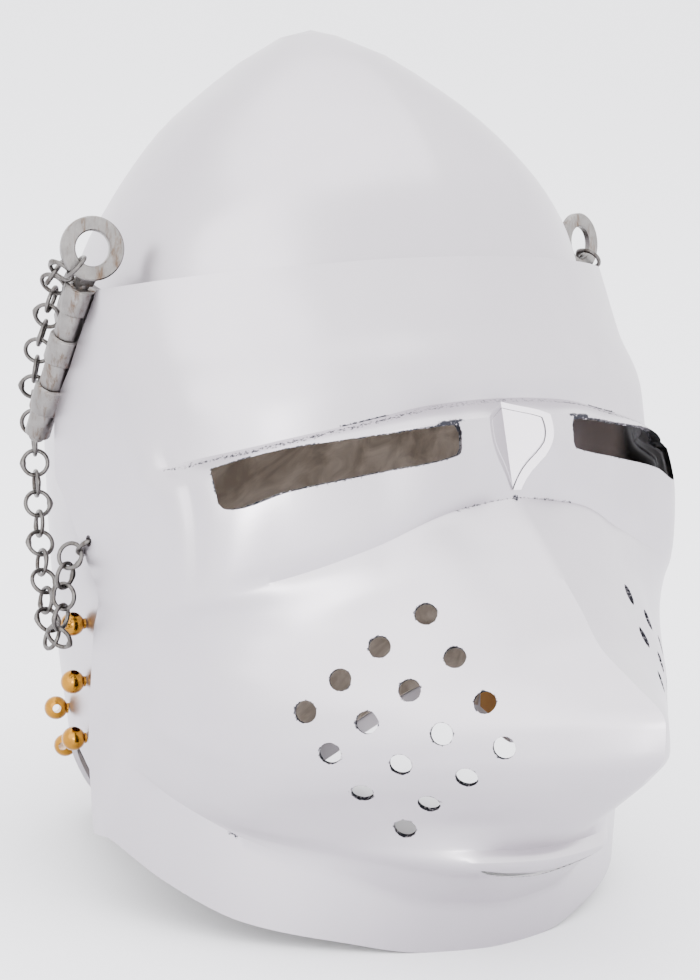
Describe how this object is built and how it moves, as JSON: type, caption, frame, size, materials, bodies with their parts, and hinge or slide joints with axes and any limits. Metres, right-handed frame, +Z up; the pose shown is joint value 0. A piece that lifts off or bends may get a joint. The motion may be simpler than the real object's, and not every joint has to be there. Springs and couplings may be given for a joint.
{
  "type": "pig-faced bascinet",
  "caption": "Pointed steel bascinet with a snouted pig-face visor on lifting side pivots, hinge pins kept by chains and brass vervelles round the neck.",
  "frame": {"origin": "middle of the standing helmet's bounding box, on the surface that it stands on", "axes": "+Z up, -Y towards the front of the helmet, +X towards the wearer's left"},
  "size_m": [0.2322, 0.3146, 0.2957],
  "materials": {
    "satin_steel": "satin, lightly brushed and polished",
    "worn_steel": "duller, scratched, with brown traces",
    "oiled_steel": "dark, oiled wire",
    "brass": "polished, slightly tarnished",
    "lining_cloth": "creased woven cotton",
    "edge_leather": "vegetable-tanned, tan"
  },
  "bodies": {
    "skull_body": {"skull": "satin_steel", "liner": "lining_cloth", "liner_edge": "edge_leather", "pivot_rivet_left": "worn_steel", "pivot_rivet_right": "worn_steel", "cheek_vervelle_1": "brass", "cheek_vervelle_2": "brass", "cheek_vervelle_3": "brass", "cheek_vervelle_4": "brass", "cheek_vervelle_5": "brass", "cheek_vervelle_6": "brass", "nape_vervelle_1": "brass", "nape_vervelle_2": "brass", "nape_vervelle_3": "brass", "nape_vervelle_4": "brass", "nape_vervelle_5": "brass", "nape_vervelle_6": "brass", "nape_vervelle_7": "brass"},
    "visor_body": {"visor": "satin_steel", "visor_hinge_left": "worn_steel", "visor_hinge_right": "worn_steel", "side_arm_left": "worn_steel", "side_arm_right": "worn_steel", "hinge_pin_left": "worn_steel", "hinge_pin_right": "worn_steel", "pin_chain_left": "oiled_steel", "pin_chain_right": "oiled_steel"}
  },
  "joints": [
    {"name": "visor_lift", "type": "hinge", "parent": "skull_body", "child": "visor_body", "pos_m": [0, 0.0683, 0.194], "axis": [-1, 0, 0], "range_deg": [0, 85]}
  ]
}
